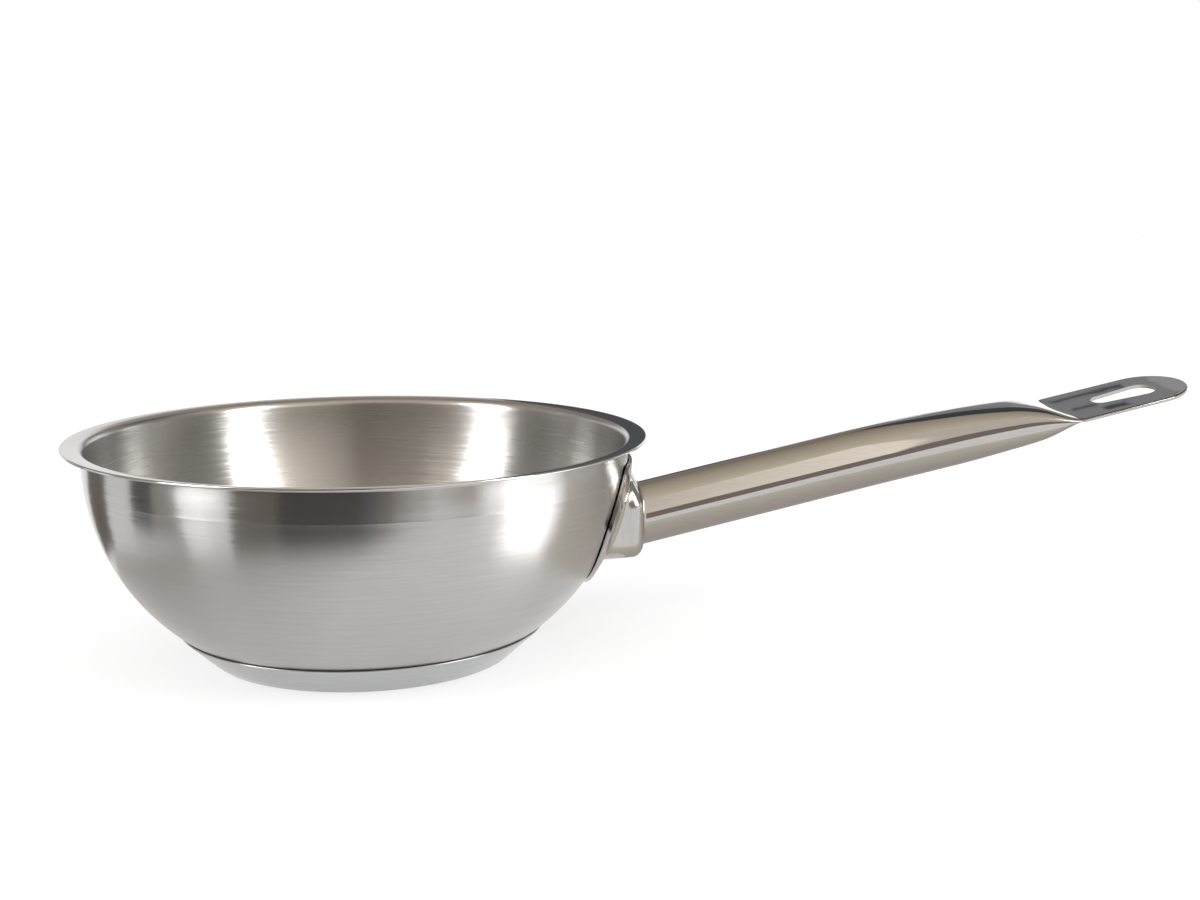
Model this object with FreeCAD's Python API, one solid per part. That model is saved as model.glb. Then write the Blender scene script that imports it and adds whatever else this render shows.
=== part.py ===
import FreeCAD, Part
import math
import os

from FreeCAD import Vector

# A saucier pan of pressed stainless steel with a welded tube handle.
# Millimetres, +Z up, the handle towards +X. The origin is on the axis of the bowl,
# at the underside of the base.

# Bowl, drawn from one sheet
sheet = 0.9
bowl_inner_radius = 90.4
wall_arc_radius = 74.6  # outer face of the wall in section, one arc from the floor up
floor_bend_radius = 20.0
wall_top_height = 69.9  # where the arc ends, upright
lip_upright = 2.4  # straight wall between the arc and the lip's bend
lip_bend_radius = 1.1
lip_slope = 8.0  # degrees above level
rim_radius = 97.8

# Sandwich base: a core brazed between the bowl and a cap
cap_sheet = 0.6
braze = 0.2
core_thickness = 5.2
core_edge_inset = 4.0
core_side_clearance = 0.15
cap_floor_margin = 1.9  # of the cap's flat beyond the bowl's flat floor
cap_bend_radius = 1.5
cap_rim_height = 10.0
cap_rim_gap = 0.4  # the dark groove between the cap and the bowl

# Handle bracket: an oval plate with a hollow boss pressed out of it
plate = 1.2
plate_gap = 0.4
plate_width = 93.0
plate_height = 58.0
plate_rise = 7.5  # of the oval's middle above the tube's axis
plate_top_margin = 6.0  # from the root of the lip
boss_depth = 6.3  # from the wall to the face that carries the tube
boss_bottom_margin = 1.7  # below the tube
boss_roof_drop = 0.5  # from the top of the tube to where the roof starts to lean back
boss_roof_slope = 66.0  # degrees above level
boss_side_margin = 4.85  # each side of the tube
boss_draft = 6.0  # degrees, each side
boss_edge_radius = 4.5
boss_corner_radius = 5.0
boss_arch = 5.5  # rise of the rounded top above its shoulders, at the face
boss_edge_steps = (0, 30, 60, 90)  # degrees, sections of the rounded edge

# Handle: a round tube, pressed flat at its far end
tube_radius = 11.15
tube_wall = 0.7
tube_fit = 0.1
tube_insert = 5.0
handle_height = 42.05  # of the axis, at the face of the boss
handle_tilt = 10.9
handle_roll = 6.4  # the flat end leans this far to the -Y side
crease_reach = 170.8  # along the axis, from the face of the boss
tab_width = 31.9
tab_length = 52.3  # from the crease to the tip
tab_drop = 1.3  # below the tube's axis
tab_lap = 5.0  # of the flat end inside the tube
slot_start = 13.8  # from the crease
slot_length = 26.7
slot_near_radius = 4.2  # the end towards the bowl
slot_far_radius = 6.0
cavity_end = 1.5  # before the crease

# Shape of the flattening: distance before the crease, and the heights above and below
# the axis as shares of the tube's radius
flattening = [
    (90.0, 1.00, 1.00),
    (72.0, 0.97, 1.00),
    (57.0, 0.91, 1.00),
    (41.0, 0.82, 0.98),
    (26.0, 0.68, 0.90),
    (18.0, 0.57, 0.84),
    (10.0, 0.37, 0.70),
]
flattening_sections = 16

# Welds
bead = 0.7
spot_radius = 2.5
spot_depth = 0.5  # into the plate
spot_offset = 31.2  # each side of the boss
spot_pitch = 11.0
spot_rows = 3

wall_radius = bowl_inner_radius + sheet
floor_height = cap_sheet + braze + core_thickness + braze
lip_root_height = wall_top_height + lip_upright
wall_centre = Vector(wall_radius - wall_arc_radius, 0, wall_top_height)
lip_centre = Vector(wall_radius + lip_bend_radius, 0, lip_root_height)
bend_reach = wall_arc_radius - floor_bend_radius
bend_drop = wall_top_height - floor_height - floor_bend_radius
bend_centre = Vector(
    wall_centre.x + math.sqrt(bend_reach ** 2 - bend_drop ** 2),
    0,
    floor_height + floor_bend_radius,
)
bend_angle = math.degrees(math.atan2(bend_centre.z - wall_centre.z, bend_centre.x - wall_centre.x))
cap_floor_radius = bend_centre.x + cap_floor_margin
plate_top = lip_root_height - plate_top_margin
plate_centre_height = handle_height + plate_rise
boss_face = wall_radius + boss_depth
boss_half_width = tube_radius + boss_side_margin
boss_bottom_height = handle_height - tube_radius - boss_bottom_margin
boss_roof_height = handle_height + tube_radius - boss_roof_drop


def polar(centre, radius, degrees):
    angle = math.radians(degrees)
    return Vector(centre.x + radius * math.cos(angle), 0, centre.z + radius * math.sin(angle))


def arc(centre, radius, start, end):
    middle = polar(centre, radius, (start + end) / 2)
    return Part.Arc(polar(centre, radius, start), middle, polar(centre, radius, end)).toShape()


def line(start, end):
    return Part.makeLine(start, end)


def chain(points):
    return [line(a, b) for a, b in zip(points, points[1:])]


def turned(edges):
    face = Part.Face(Part.Wire(Part.__sortEdges__(edges)))
    return face.revolve(Vector(0, 0, 0), Vector(0, 0, 1), 360)


# Profile of the bowl
def floor_to_wall(offset):
    # The bowl's outline, this far outside its outer face, from the axis to the wall.
    floor = floor_height - offset
    floor_edge = Vector(bend_centre.x, 0, floor)
    return [
        line(Vector(0, 0, floor), floor_edge),
        arc(bend_centre, floor_bend_radius + offset, -90, bend_angle),
        arc(wall_centre, wall_arc_radius + offset, bend_angle, 0),
    ]


def lip_direction():
    angle = math.radians(lip_slope)
    return Vector(math.cos(angle), 0, math.sin(angle))


def lip_start(offset):
    return polar(lip_centre, lip_bend_radius - offset, 90 + lip_slope)


lip_length = (rim_radius - lip_start(-sheet / 2).x) / lip_direction().x - sheet / 2


def lip_end(offset):
    return lip_start(offset) + lip_direction() * lip_length


def lip(offset):
    return [
        line(polar(wall_centre, wall_arc_radius + offset, 0), polar(lip_centre, lip_bend_radius - offset, 180)),
        arc(lip_centre, lip_bend_radius - offset, 180, 90 + lip_slope),
        line(lip_start(offset), lip_end(offset)),
    ]


def wall_angle(offset, height):
    return -math.degrees(math.asin((wall_top_height - height) / (wall_arc_radius + offset)))


def bowl_room(offset):
    # All the room inside the bowl's outline, this far outside its outer face.
    top = Vector(wall_radius + offset, 0, 2 * lip_root_height)
    edges = floor_to_wall(offset)
    edges += chain([polar(wall_centre, wall_arc_radius + offset, 0), top, Vector(0, 0, top.z)])
    edges.append(line(Vector(0, 0, top.z), Vector(0, 0, floor_height - offset)))
    return turned(edges)


def make_shell():
    rim_crown = lip_end(-sheet / 2) + lip_direction() * (sheet / 2)
    edges = floor_to_wall(0) + lip(0)
    edges += floor_to_wall(-sheet) + lip(-sheet)
    edges.append(Part.Arc(lip_end(0), rim_crown, lip_end(-sheet)).toShape())
    edges.append(line(Vector(0, 0, floor_height), Vector(0, 0, floor_height + sheet)))
    return turned(edges)


# Sandwich base
def cap_rim_centre():
    reach = wall_arc_radius + cap_rim_gap + cap_sheet / 2
    return polar(wall_centre, reach, wall_angle(cap_rim_gap + cap_sheet / 2, cap_rim_height))


def cap_side_angle():
    # Slope of the cap's side, from its lower outer corner to the round of its rim.
    rise = cap_rim_centre() - Vector(cap_floor_radius, 0, 0)
    return math.degrees(math.atan2(rise.z, rise.x) - math.asin(cap_sheet / 2 / rise.Length))


def cap_side(inset):
    # The straight side of the cap, this far inside its outer face, from the bend up.
    angle = cap_side_angle()
    bend_run = cap_bend_radius * math.tan(math.radians(angle / 2))
    centre = Vector(cap_floor_radius - bend_run, 0, cap_bend_radius)
    start = polar(centre, cap_bend_radius - inset, angle - 90)
    end = polar(cap_rim_centre(), cap_sheet / 2 - inset, angle - 90)
    return centre, start, end


def cap_lines(inset):
    centre, start, end = cap_side(inset)
    return [
        line(Vector(0, 0, inset), Vector(centre.x, 0, inset)),
        arc(centre, cap_bend_radius - inset, -90, cap_side_angle() - 90),
        line(start, end),
    ]


def make_cap():
    edges = cap_lines(0) + cap_lines(cap_sheet)
    edges.append(arc(cap_rim_centre(), cap_sheet / 2, cap_side_angle() - 90, cap_side_angle() + 90))
    edges.append(line(Vector(0, 0, 0), Vector(0, 0, cap_sheet)))
    return turned(edges)


def base_edge():
    return cap_rim_centre().x - core_edge_inset


def cap_inside():
    # The room inside the cap's side, less a clearance.
    inset = cap_sheet + core_side_clearance
    centre, start, end = cap_side(inset)
    slope = math.radians(cap_side_angle())
    foot = start - Vector(start.z / math.tan(slope), 0, start.z)
    return turned(chain([Vector(0, 0, 0), foot, end, Vector(0, 0, end.z), Vector(0, 0, 0)]))


def make_base_layers():
    # The core and the braze above it fill the cap, up to the bowl and out to the core's edge.
    bottom = cap_sheet + braze
    disc = Part.makeCylinder(base_edge(), cap_rim_height - bottom, Vector(0, 0, bottom)).common(cap_inside())
    core = disc.cut(bowl_room(braze))
    upper = disc.common(bowl_room(braze)).cut(bowl_room(0))
    lower = Part.makeCylinder(cap_floor_radius - cap_bend_radius, braze, Vector(0, 0, cap_sheet))
    return core, upper, lower


# Handle, in its own frame: X along the axis, Z square to the flat end
def handle_placed(shape):
    placed = shape.copy()
    placed.rotate(Vector(0, 0, 0), Vector(1, 0, 0), handle_roll)
    placed.rotate(Vector(0, 0, 0), Vector(0, 1, 0), -handle_tilt)
    placed.translate(Vector(boss_face, 0, handle_height))
    return placed


def quarter(start, corner, end):
    # A quarter of an ellipse between two points, inside the corner of its box.
    curve = Part.BezierCurve()
    curve.setPoles([start, corner, end])
    curve.setWeight(2, math.sqrt(0.5))
    return curve.toShape()


def oval(station, half_width, top, bottom, middle=0.0):
    # A closed oval square to X, widest at the height of its middle.
    right = Vector(station, half_width, middle)
    left = Vector(station, -half_width, middle)
    crown = Vector(station, 0, top)
    keel = Vector(station, 0, bottom)
    return Part.Wire([
        quarter(right, Vector(station, half_width, top), crown),
        quarter(crown, Vector(station, -half_width, top), left),
        quarter(left, Vector(station, -half_width, bottom), keel),
        quarter(keel, Vector(station, half_width, bottom), right),
    ])


def tube_width(top, bottom):
    # The tube spreads as it is pressed: half its width for these heights.
    mean = (top - bottom) / 2 / tube_radius
    spread = (math.sqrt(2 - mean ** 2) - 1) / (math.sqrt(2) - 1)
    return tube_radius + (tab_width / 2 - tube_radius) * spread


def flattening_rows():
    # Distance before the crease, top and bottom, from the crease to the round tube.
    rows = [(0.0, tube_wall - tab_drop, -tube_wall - tab_drop)]
    for before, above, below in reversed(flattening):
        rows.append((before, above * tube_radius, -below * tube_radius))
    return rows


def eased(rows, before, column):
    # A smooth line through the rows: a cubic in each stretch, level where the tube is round.
    def slope(index):
        if index == len(rows) - 1:
            return 0.0
        low = rows[max(index - 1, 0)]
        high = rows[index + 1]
        return (high[column] - low[column]) / (high[0] - low[0])

    index = max(k for k in range(len(rows) - 1) if rows[k][0] <= before)
    start, end = rows[index], rows[index + 1]
    span = end[0] - start[0]
    t = (before - start[0]) / span
    return (
        (1 + 2 * t) * (1 - t) ** 2 * start[column]
        + t * (1 - t) ** 2 * span * slope(index)
        + t ** 2 * (3 - 2 * t) * end[column]
        - t ** 2 * (1 - t) * span * slope(index + 1)
    )


def tube_section(before, inset):
    # The pressed tube's section this far before the crease, this far inside its skin.
    rows = flattening_rows()
    top = eased(rows, before, 1)
    bottom = eased(rows, before, 2)
    middle = -tab_drop * (1 - before / rows[-1][0]) ** 2
    half_width = tube_width(top, bottom) - inset
    return oval(crease_reach - before, half_width, top - inset, bottom + inset, middle)


def tube_body(inset, last):
    # The tube from its root to a point just before the crease, this far inside its skin.
    start = flattening[0][0]
    steps = range(flattening_sections + 1)
    sections = [tube_section(start + (last - start) * k / flattening_sections, inset) for k in steps]
    root = Vector(-tube_insert, 0, 0)
    length = crease_reach - start + tube_insert
    straight = Part.makeCylinder(tube_radius - inset, length, root, Vector(1, 0, 0))
    return straight.fuse(Part.makeLoft(sections, True, False))


def flat_bar(outline, thickness):
    # A flat bar of this outline, centred on the height of the pressed end.
    bar = Part.Face(Part.Wire(Part.__sortEdges__(outline))).extrude(Vector(0, 0, thickness))
    bar.translate(Vector(0, 0, -tab_drop - thickness / 2))
    return bar


def make_slot(thickness):
    # A tapered slot: two round ends, and straight sides that touch both.
    near = crease_reach + slot_start + slot_near_radius
    far = crease_reach + slot_start + slot_length - slot_far_radius
    lean = (slot_near_radius - slot_far_radius) / (far - near)
    upright = math.sqrt(1 - lean ** 2)
    side = [
        Vector(near + slot_near_radius * lean, -slot_near_radius * upright, 0),
        Vector(far + slot_far_radius * lean, -slot_far_radius * upright, 0),
    ]
    other = [Vector(p.x, -p.y, 0) for p in reversed(side)]
    outline = [
        line(*side),
        Part.Arc(side[1], Vector(far + slot_far_radius, 0, 0), other[0]).toShape(),
        line(*other),
        Part.Arc(other[1], Vector(near - slot_near_radius, 0, 0), side[0]).toShape(),
    ]
    return flat_bar(outline, thickness)


def make_tab():
    half_width = tab_width / 2
    rows = flattening_rows()
    lap_width = tube_width(eased(rows, tab_lap, 1), eased(rows, tab_lap, 2))
    tip = crease_reach + tab_length
    thickness = 2 * tube_wall
    corners = [
        Vector(crease_reach - tab_lap, -lap_width, 0),
        Vector(crease_reach, -half_width, 0),
        Vector(tip - half_width, -half_width, 0),
    ]
    mirrored = [Vector(p.x, -p.y, 0) for p in reversed(corners)]
    outline = chain(corners) + chain(mirrored)
    outline.append(Part.Arc(corners[-1], Vector(tip, 0, 0), mirrored[0]).toShape())
    outline.append(line(mirrored[-1], corners[0]))
    return flat_bar(outline, thickness).cut(make_slot(2 * tube_radius))


def make_tube():
    body = tube_body(0, 0.0).fuse(make_tab())
    tube = body.cut(tube_body(tube_wall, cavity_end)).removeSplitter()
    return handle_placed(tube)


def tube_bar(radius):
    # A bar round the tube's axis, from its root to a little beyond the boss.
    length = tube_insert + boss_depth
    bar = Part.makeCylinder(radius, length, Vector(-tube_insert, 0, 0), Vector(1, 0, 0))
    return handle_placed(bar)


# Handle bracket
def boss_section(station, half_width, bottom, shoulder, top):
    def at(y, z):
        return Vector(station, y, z)

    corner = boss_corner_radius
    inner = half_width - corner
    return Part.Wire([
        line(at(-inner, bottom), at(inner, bottom)),
        quarter(at(inner, bottom), at(half_width, bottom), at(half_width, bottom + corner)),
        line(at(half_width, bottom + corner), at(half_width, shoulder)),
        quarter(at(half_width, shoulder), at(half_width, top), at(0, top)),
        quarter(at(0, top), at(-half_width, top), at(-half_width, shoulder)),
        line(at(-half_width, shoulder), at(-half_width, bottom + corner)),
        quarter(at(-half_width, bottom + corner), at(-half_width, bottom), at(-inner, bottom)),
    ])


def make_boss(inset):
    # The boss as a solid block, this far inside its outer face.
    roof = math.tan(math.radians(boss_roof_slope))
    draft = math.tan(math.radians(boss_draft))
    shoulder = boss_roof_height - boss_arch
    roof_start = (plate_top - boss_roof_height) / roof
    sections = []
    depths = [(boss_face / 2, 0.0), (roof_start, 0.0)]
    for degrees in boss_edge_steps:
        angle = math.radians(degrees)
        depths.append((boss_edge_radius * (1 - math.sin(angle)), boss_edge_radius * (1 - math.cos(angle))))
    for depth, rounding in depths:
        shrink = inset + rounding
        half_width = boss_half_width + min(depth, roof_start) * draft - shrink
        top = min(plate_top, boss_roof_height + depth * roof) - inset
        station = boss_face - depth - inset
        sections.append(boss_section(station, half_width, boss_bottom_height + shrink, shoulder - inset, top))
    return Part.makeLoft(sections, True, True)


def plate_outline():
    # The oval of the plate, seen along the handle, cut level under the lip.
    half_width = plate_width / 2
    half_height = plate_height / 2
    wire = oval(0, half_width, half_height, -half_height)
    bar = Part.Face(wire).extrude(Vector(2 * wall_radius, 0, 0))
    bar.translate(Vector(0, 0, plate_centre_height))
    below = Part.makeBox(2 * wall_radius, plate_width, plate_top, Vector(0, -half_width, 0))
    return bar.common(below)


def spot_bars():
    # Bars square to the wall, one for each spot weld, from inside the sheet to inside the plate.
    bars = []
    length = sheet + plate_gap + spot_depth
    for side in (-1, 1):
        azimuth = math.degrees(math.asin(side * spot_offset / wall_radius))
        for row in range(spot_rows):
            height = plate_centre_height + (row - (spot_rows - 1) / 2) * spot_pitch
            angle = wall_angle(0, height)
            foot = polar(wall_centre, wall_arc_radius - sheet, angle)
            bar = Part.makeCylinder(spot_radius, length, foot, foot - wall_centre)
            bar.rotate(Vector(0, 0, 0), Vector(0, 0, 1), azimuth)
            bars.append(bar)
    return Part.makeCompound(bars)


def make_bracket():
    room = bowl_room(plate_gap)
    skin = bowl_room(plate_gap + plate).cut(room).common(plate_outline())
    block = make_boss(0).cut(room)
    bracket = skin.fuse(block).cut(make_boss(plate)).cut(tube_bar(tube_radius + tube_fit))
    return bracket.cut(spot_bars()).removeSplitter()


# Welds
def make_weld_ring():
    skin = make_boss(-bead).cut(make_boss(0)).cut(bowl_room(plate_gap + plate))
    return skin.common(tube_bar(tube_radius + bead)).cut(tube_bar(tube_radius))


def make_spot_welds():
    return spot_bars().cut(bowl_room(0))


core, upper_braze, lower_braze = make_base_layers()
pieces = {
    "pan_shell": make_shell(),
    "base_core_disc": core,
    "base_upper_braze": upper_braze,
    "base_lower_braze": lower_braze,
    "base_cap": make_cap(),
    "handle_bracket": make_bracket(),
    "handle_tube": make_tube(),
    "handle_weld_ring": make_weld_ring(),
    "bracket_spot_welds": make_spot_welds(),
}
os.makedirs("parts", exist_ok=True)
for name, shape in pieces.items():
    solids = shape.Solids
    box = shape.BoundBox
    print(f"{name}: {len(solids)} solid(s), valid {shape.isValid()}, {shape.Volume:.1f} mm3, "
          f"x {box.XMin:.1f} {box.XMax:.1f} y {box.YMin:.1f} {box.YMax:.1f} z {box.ZMin:.1f} {box.ZMax:.1f}")
    solid = solids[0] if len(solids) == 1 else Part.makeCompound(solids)
    solid.exportStep(f"parts/{name}.step")
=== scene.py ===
import math

import bmesh
import bpy
from mathutils import Matrix, Vector


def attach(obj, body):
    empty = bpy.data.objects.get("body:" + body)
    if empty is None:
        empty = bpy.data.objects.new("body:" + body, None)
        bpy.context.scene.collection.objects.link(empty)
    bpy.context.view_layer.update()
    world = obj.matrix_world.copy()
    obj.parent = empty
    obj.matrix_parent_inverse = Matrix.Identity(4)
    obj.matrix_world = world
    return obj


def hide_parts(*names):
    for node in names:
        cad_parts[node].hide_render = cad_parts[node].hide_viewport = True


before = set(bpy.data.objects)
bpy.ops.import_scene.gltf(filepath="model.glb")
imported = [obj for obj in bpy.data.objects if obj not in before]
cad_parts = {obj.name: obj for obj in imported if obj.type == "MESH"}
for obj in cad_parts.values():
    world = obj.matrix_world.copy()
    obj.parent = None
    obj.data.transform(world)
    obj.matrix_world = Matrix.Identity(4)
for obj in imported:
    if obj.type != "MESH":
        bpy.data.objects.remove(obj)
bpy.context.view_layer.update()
mm = 0.001
joinGap = 0.01 * mm
print("frame loaded:", len(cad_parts), "nodes")


def linearColor(hexText):
    # sRGB hex to the linear colour that the shader wants
    channels = [int(hexText[k:k + 2], 16) / 255 for k in (1, 3, 5)]
    linear = [c / 12.92 if c <= 0.04045 else ((c + 0.055) / 1.055) ** 2.4 for c in channels]
    return (*linear, 1.0)


def addNode(tree, kind, settings=None, values=None, links=None):
    node = tree.nodes.new("ShaderNode" + kind)
    for name, value in (settings or {}).items():
        setattr(node, name, value)
    for socket, value in (values or {}).items():
        node.inputs[socket].default_value = value
    for socket, source in (links or {}).items():
        tree.links.new(source, node.inputs[socket])
    return node


def newMaterial(name):
    material = bpy.data.materials.new(name)
    material.use_nodes = True
    material.node_tree.nodes.clear()
    return material, material.node_tree


def arcPoints(centre, radius, start, end, steps):
    # points of an arc in the XZ plane, sizes in mm, angles in degrees
    points = []
    for k in range(steps + 1):
        angle = math.radians(start + (end - start) * k / steps)
        points.append(Vector((centre[0] + radius * math.cos(angle), 0, centre[1] + radius * math.sin(angle))))
    return points


def editPiece(piece):
    bpy.ops.object.mode_set(mode="OBJECT")
    bpy.ops.object.select_all(action="DESELECT")
    piece.select_set(True)
    bpy.context.view_layer.objects.active = piece
    bpy.ops.object.mode_set(mode="EDIT")


def spunPiece(name, profile, steps):
    # one point extruded along the profile, then spun round the bowl's axis
    bpy.ops.object.select_all(action="DESELECT")
    bpy.ops.mesh.primitive_plane_add(size=mm)
    piece = bpy.context.object
    piece.name = name
    bpy.ops.object.mode_set(mode="EDIT")
    bpy.ops.mesh.select_all(action="SELECT")
    bpy.ops.mesh.merge(type="CENTER")
    bpy.ops.transform.translate(value=profile[0] * mm)
    for here, there in zip(profile, profile[1:]):
        bpy.ops.mesh.extrude_region_move(TRANSFORM_OT_translate={"value": (there - here) * mm})
    bpy.ops.mesh.select_all(action="SELECT")
    bpy.ops.mesh.spin(steps=steps, angle=2 * math.pi, center=(0, 0, 0), axis=(0, 0, 1))
    bpy.ops.mesh.select_all(action="SELECT")
    bpy.ops.mesh.remove_doubles(threshold=joinGap)
    bpy.ops.mesh.normals_make_consistent(inside=False)
    bpy.ops.object.mode_set(mode="OBJECT")
    return piece


def growRing(piece, share, place):
    # extrude the selected ring, then put each new point where its share of the way round says
    bpy.ops.mesh.extrude_edges_move(TRANSFORM_OT_translate={"value": (0, 0, 0)})
    mesh = bmesh.from_edit_mesh(piece.data)
    mesh.verts.index_update()
    fresh = {}
    for vert in mesh.verts:
        if vert.select:
            others = [edge.other_vert(vert) for edge in vert.link_edges]
            old = next(other for other in others if not other.select)
            fresh[vert.index] = share[old.index]
            vert.co = place(share[old.index]) * mm
    bmesh.update_edit_mesh(piece.data)
    return fresh


def firstRing(name, points, place):
    # a circle of loose edges, its points put where the first ring goes
    bpy.ops.object.select_all(action="DESELECT")
    bpy.ops.mesh.primitive_circle_add(vertices=points, radius=mm)
    piece = bpy.context.object
    piece.name = name
    bpy.ops.object.mode_set(mode="EDIT")
    mesh = bmesh.from_edit_mesh(piece.data)
    mesh.verts.index_update()
    share = {}
    for vert in mesh.verts:
        angle = math.atan2(vert.co.y, vert.co.x)
        share[vert.index] = angle
        vert.co = place(angle) * mm
    bmesh.update_edit_mesh(piece.data)
    bpy.ops.mesh.select_all(action="SELECT")
    return piece, share


def applyAll(piece):
    bpy.context.view_layer.objects.active = piece
    for modifier in list(piece.modifiers):
        bpy.ops.object.modifier_apply(modifier=modifier.name)


def finishPiece(piece, node, smoothAngle):
    bpy.ops.object.mode_set(mode="OBJECT")
    bpy.ops.object.select_all(action="DESELECT")
    piece.select_set(True)
    bpy.context.view_layer.objects.active = piece
    bpy.ops.object.shade_smooth_by_angle(angle=math.radians(smoothAngle))
    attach(piece, "root")
    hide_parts(node)
    print(piece.name, "made:", len(piece.data.polygons), "faces")


# Where most of the noise's values lie
grooveRange = {"From Min": 0.25, "From Max": 0.75}
markRange = {"From Min": 0.3, "From Max": 0.7}


# Stainless steel brushed in rings round the bowl: its grooves draw highlights out and fray their edges
# Real grooves are about 0.1 mm apart, too fine to show here, so they are drawn several times coarser
def ringBrushedSteel(name, look):
    material, tree = newMaterial(name)
    place = addNode(tree, "TexCoord").outputs["Object"]
    split = addNode(tree, "SeparateXYZ", links={"Vector": place}).outputs
    flat = addNode(tree, "CombineXYZ", links={"X": split["X"], "Y": split["Y"]}).outputs["Vector"]
    away = addNode(tree, "VectorMath", {"operation": "LENGTH"}, links={0: flat}).outputs["Value"]
    heading = addNode(tree, "VectorMath", {"operation": "NORMALIZE"}, links={0: flat}).outputs["Vector"]
    turn = addNode(tree, "VectorMath", {"operation": "SCALE"}, {"Scale": look["streaksPerRadian"]},
                   {0: heading}).outputs["Vector"]
    pitch = 1 / (look["groovePitch"] * mm)
    ring = addNode(tree, "Math", {"operation": "MULTIPLY"}, {1: pitch}, {0: away}).outputs["Value"]
    level = addNode(tree, "Math", {"operation": "MULTIPLY"}, {1: pitch}, {0: split["Z"]}).outputs["Value"]
    ringAxis = addNode(tree, "CombineXYZ", links={"Z": ring}).outputs["Vector"]
    grain = addNode(tree, "VectorMath", {"operation": "ADD"}, links={0: turn, 1: ringAxis}).outputs["Vector"]
    grooves = addNode(tree, "TexNoise", {"noise_dimensions": "4D"},
                      {"Scale": 1.0, "Detail": 2.0, "Roughness": 0.65},
                      {"Vector": grain, "W": level}).outputs["Fac"]
    tint = addNode(tree, "MixRGB", None,
                   {"Color1": linearColor(look["groove"]), "Color2": linearColor(look["ridge"])},
                   {"Fac": grooves}).outputs["Color"]
    rough = addNode(tree, "MapRange", None,
                    {**grooveRange,
                     "To Min": look["roughness"] + look["roughnessSpread"],
                     "To Max": look["roughness"] - look["roughnessSpread"]},
                    {"Value": grooves}).outputs["Result"]
    sway = addNode(tree, "MapRange", {"clamp": False},
                   {"To Min": -look["sway"], "To Max": look["sway"]},
                   {"Value": grooves}).outputs["Result"]
    sideways = addNode(tree, "VectorMath", {"operation": "CROSS_PRODUCT"}, {0: (0, 0, 1)},
                       {1: heading}).outputs["Vector"]
    leaning = addNode(tree, "VectorMath", {"operation": "SCALE"}, None,
                      {0: sideways, "Scale": sway}).outputs["Vector"]
    upright = addNode(tree, "NewGeometry").outputs["Normal"]
    swayed = addNode(tree, "VectorMath", {"operation": "ADD"},
                     links={0: upright, 1: leaning}).outputs["Vector"]
    facing = addNode(tree, "VectorMath", {"operation": "NORMALIZE"}, links={0: swayed}).outputs["Vector"]
    bump = addNode(tree, "Bump", None, {"Strength": 1.0, "Distance": look["grooveDepth"] * mm},
                   {"Height": grooves, "Normal": facing}).outputs["Normal"]
    across = addNode(tree, "Tangent", {"direction_type": "RADIAL", "axis": "Z"}).outputs["Tangent"]
    shader = addNode(tree, "BsdfPrincipled", None,
                     {"Metallic": 1.0, "Anisotropic": look["stretch"], "Anisotropic Rotation": 0.25},
                     {"Base Color": tint, "Roughness": rough, "Normal": bump, "Tangent": across})
    addNode(tree, "OutputMaterial", links={"Surface": shader.outputs["BSDF"]})
    return material


# Stainless steel polished on a mop along the handle: near mirror, with faint wavy pull marks
def polishedSteel(name, look):
    material, tree = newMaterial(name)
    place = addNode(tree, "TexCoord").outputs["Object"]
    along = addNode(tree, "Mapping", None,
                    {"Rotation": (0, math.radians(look["tilt"]), 0),
                     "Scale": [1 / (size * mm) for size in look["markSize"]]},
                    {"Vector": place}).outputs["Vector"]
    marks = addNode(tree, "TexNoise", None, {"Scale": 1.0, "Detail": 3.0, "Roughness": 0.6},
                    {"Vector": along}).outputs["Fac"]
    waves = addNode(tree, "TexNoise", None,
                    {"Scale": 1 / (look["waveSize"] * mm), "Detail": 1.0}, {"Vector": place}).outputs["Fac"]
    tint = addNode(tree, "MixRGB", None,
                   {"Color1": linearColor(look["dull"]), "Color2": linearColor(look["bright"])},
                   {"Fac": marks}).outputs["Color"]
    rough = addNode(tree, "MapRange", None,
                    {**markRange,
                     "To Min": look["roughness"] + look["roughnessSpread"],
                     "To Max": look["roughness"] - look["roughnessSpread"]},
                    {"Value": marks}).outputs["Result"]
    reached = addNode(tree, "SeparateXYZ", links={"Vector": place}).outputs["X"]
    pressEnd = look["pressStart"] + look["pressRun"]
    pressRange = {"From Min": look["pressStart"] * mm, "From Max": pressEnd * mm}
    pressed = addNode(tree, "MapRange", None, {**pressRange, "To Min": look["waveBefore"]},
                      {"Value": reached}).outputs["Result"]
    sheen = addNode(tree, "MapRange", None, {**pressRange, "To Min": 1.0, "To Max": look["endSheen"]},
                    {"Value": reached}).outputs["Result"]
    smooth = addNode(tree, "Math", {"operation": "MULTIPLY"}, links={0: rough, 1: sheen}).outputs["Value"]
    hills = addNode(tree, "Math", {"operation": "MULTIPLY"}, links={0: waves, 1: pressed}).outputs["Value"]
    swell = addNode(tree, "Bump", None, {"Strength": 1.0, "Distance": look["waveDepth"] * mm},
                    {"Height": hills}).outputs["Normal"]
    bump = addNode(tree, "Bump", None, {"Strength": 1.0, "Distance": look["markDepth"] * mm},
                   {"Height": marks, "Normal": swell}).outputs["Normal"]
    shader = addNode(tree, "BsdfPrincipled", None, {"Metallic": 1.0},
                     {"Base Color": tint, "Roughness": smooth, "Normal": bump})
    addNode(tree, "OutputMaterial", links={"Surface": shader.outputs["BSDF"]})
    return material


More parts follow.
